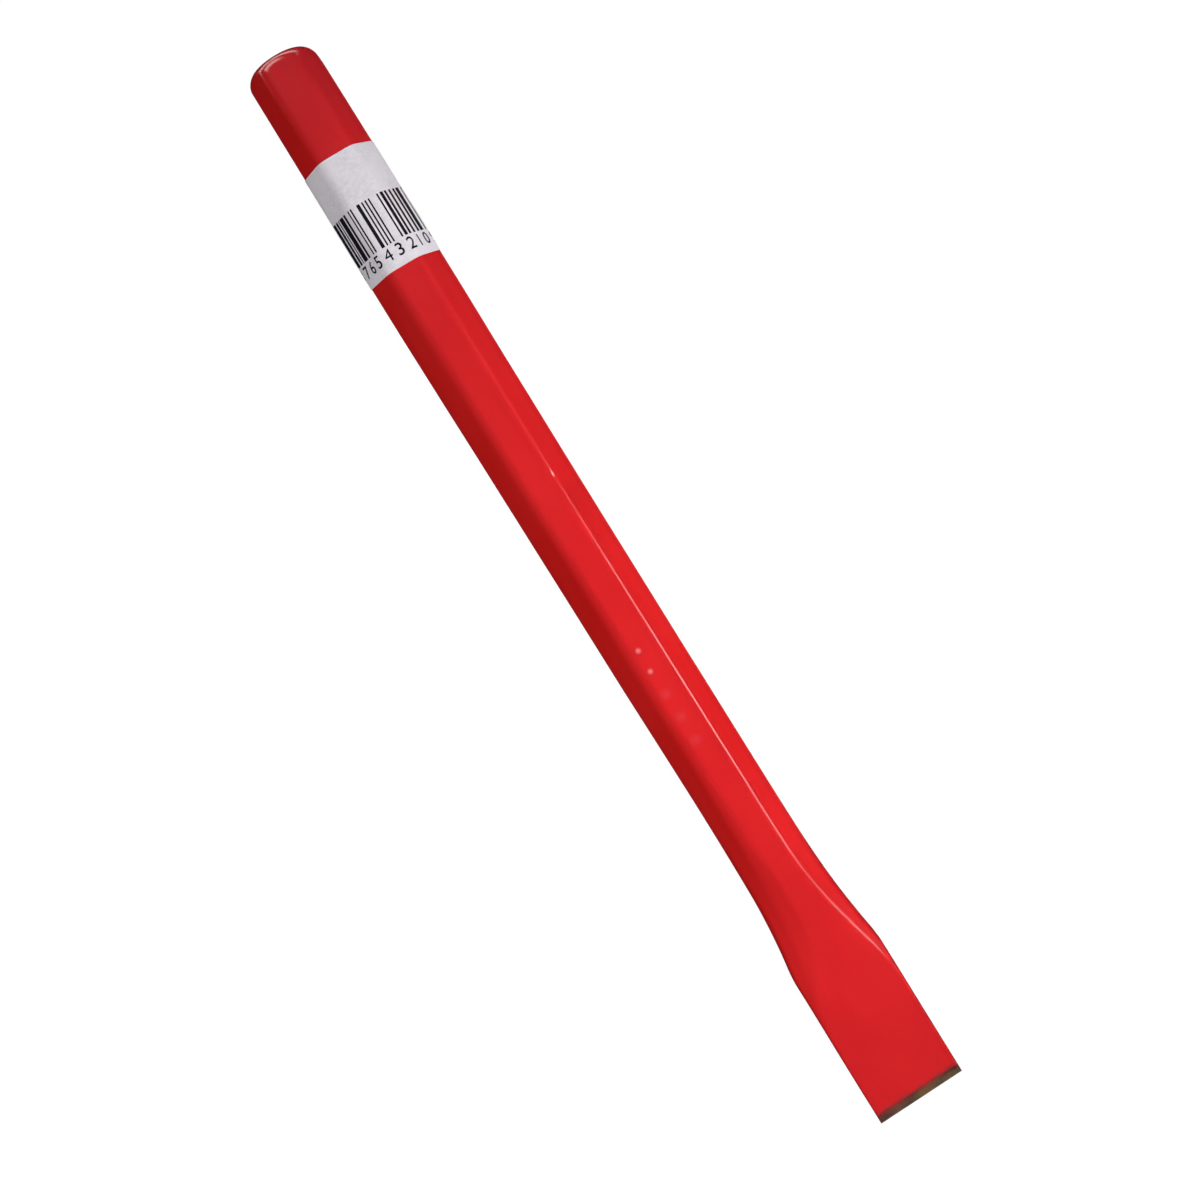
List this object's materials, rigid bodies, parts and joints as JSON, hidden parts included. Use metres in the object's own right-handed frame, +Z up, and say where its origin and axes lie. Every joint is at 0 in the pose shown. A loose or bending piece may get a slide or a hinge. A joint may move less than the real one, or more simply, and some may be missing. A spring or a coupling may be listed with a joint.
{
  "type": "flat cold chisel",
  "caption": "Forged flat cold chisel with a domed striking head, hexagonal shank, flared flat blade, ground cutting edge and a paper label.",
  "frame": {"origin": "on the resting surface, under the middle of the tool's length, on the plane that halves its width", "axes": "+X along the tool from the struck head to the cutting edge, +Y across the blade, +Z up from the shank's bottom flat to its top flat"},
  "size_m": [0.25, 0.0204, 0.0144],
  "materials": {
    "bare_steel": "ground, unpainted, slightly browned",
    "red_enamel": "gloss dipped enamel",
    "clear_glue": "clear pressure-sensitive film",
    "white_paper": "matte coated",
    "black_ink": "matte thermal print"
  },
  "bodies": {
    "root": {"forged_body": "bare_steel", "paint_coat": "red_enamel", "label_adhesive": "clear_glue", "barcode_label": "white_paper"}
  },
  "joints": []
}
